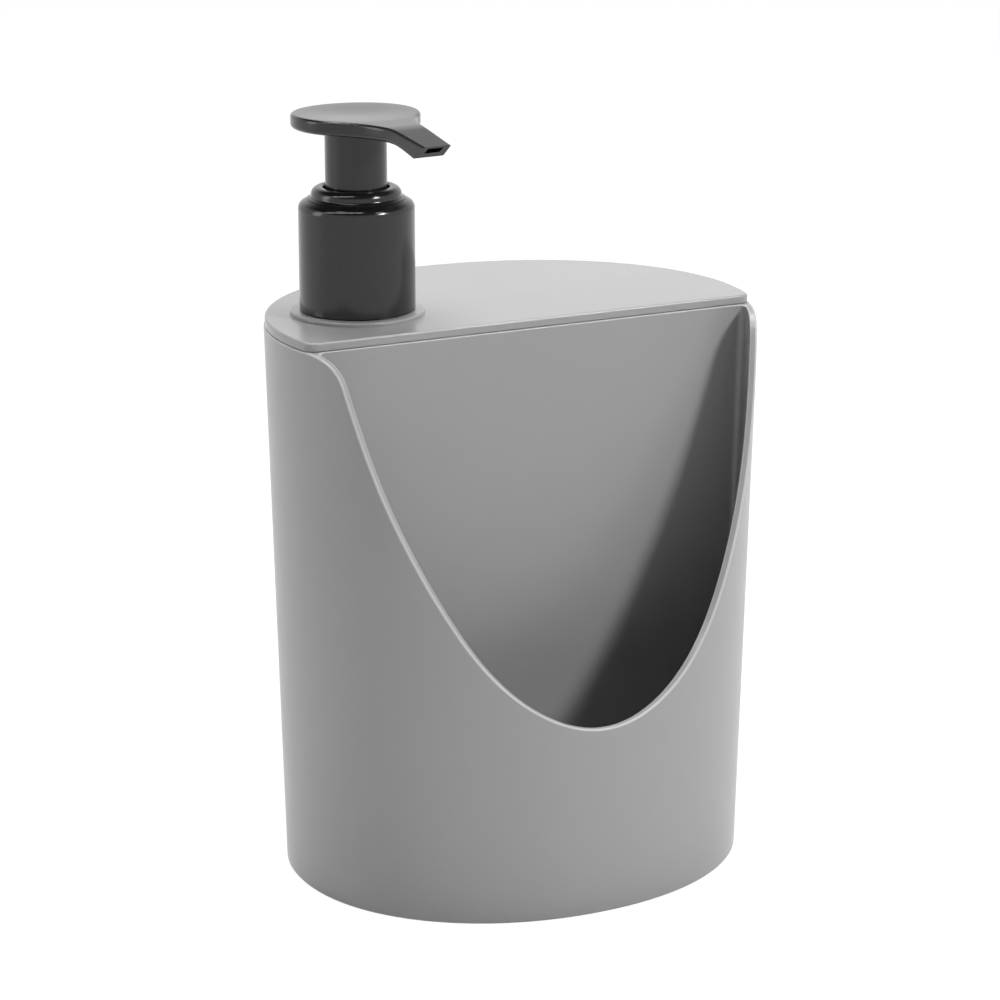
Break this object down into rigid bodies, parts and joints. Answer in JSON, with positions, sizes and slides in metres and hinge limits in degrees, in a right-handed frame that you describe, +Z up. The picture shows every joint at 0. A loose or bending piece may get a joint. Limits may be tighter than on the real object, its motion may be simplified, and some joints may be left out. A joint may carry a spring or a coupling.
{
  "type": "soap pump caddy",
  "caption": "Oval kitchen sink caddy with a lotion pump on a lidded soap reservoir and a scooped open pocket for a sponge in front.",
  "frame": {"origin": "middle of the oval face that the pot stands on", "axes": "+Z up, X along the straight partition, -Y towards the sponge pocket and its scooped front, pump on the -X side"},
  "size_m": [0.118, 0.101, 0.1823],
  "materials": {
    "pot_plastic": "satin grey",
    "lid_plastic": "satin grey",
    "pump_plastic": "satin black",
    "housing_plastic": "natural translucent",
    "gasket_rubber": "soft",
    "piston_plastic": "waxy",
    "spring_steel": "drawn wire",
    "ball_steel": "polished",
    "tube_plastic": "natural translucent"
  },
  "bodies": {
    "caddy": {"caddy_body": "pot_plastic"},
    "lid": {"reservoir_lid": "lid_plastic"},
    "pump": {"pump_housing": "housing_plastic", "housing_gasket": "gasket_rubber", "lock_ring": "pump_plastic", "ball_cage": "housing_plastic", "dip_tube": "tube_plastic", "return_spring": "spring_steel"},
    "closure": {"pump_closure": "pump_plastic"},
    "plunger": {"upper_stem": "pump_plastic", "piston_rod": "housing_plastic"},
    "head": {"actuator_head": "pump_plastic"},
    "piston_seal": {"piston": "piston_plastic"},
    "inlet_ball": {"check_ball": "ball_steel"}
  },
  "joints": [
    {"name": "lid_lift", "type": "slide", "parent": "caddy", "child": "lid", "axis": [0, 0, 1], "range_m": [0, 0.14]},
    {"name": "pump_rise", "type": "slide", "parent": "lid", "child": "pump", "axis": [0, 0, 1], "range_m": [0, 0.00476]},
    {"name": "closure_turn", "type": "hinge", "parent": "pump", "child": "closure", "pos_m": [-0.03455, 0.01165, 0.15], "axis": [0, 0, 1], "range_deg": [0, 540]},
    {"name": "head_press", "type": "slide", "parent": "pump", "child": "plunger", "axis": [0, 0, -1], "range_m": [0, 0.011], "stiffness_N_per_m": 500, "springref_m": -0.012, "deforming": ["return_spring"]},
    {"name": "head_swivel", "type": "hinge", "parent": "plunger", "child": "head", "pos_m": [-0.03455, 0.01165, 0.17], "axis": [0, 0, 1], "continuous": true},
    {"name": "piston_slip", "type": "slide", "parent": "plunger", "child": "piston_seal", "axis": [0, 0, 1], "range_m": [0, 0.0012]},
    {"name": "inlet_open", "type": "slide", "parent": "pump", "child": "inlet_ball", "axis": [0, 0, 1], "range_m": [0, 0.002]}
  ],
  "couplings": [
    {"joint": "closure_turn", "follows": "pump_rise", "rad_per_m": 1979}
  ]
}
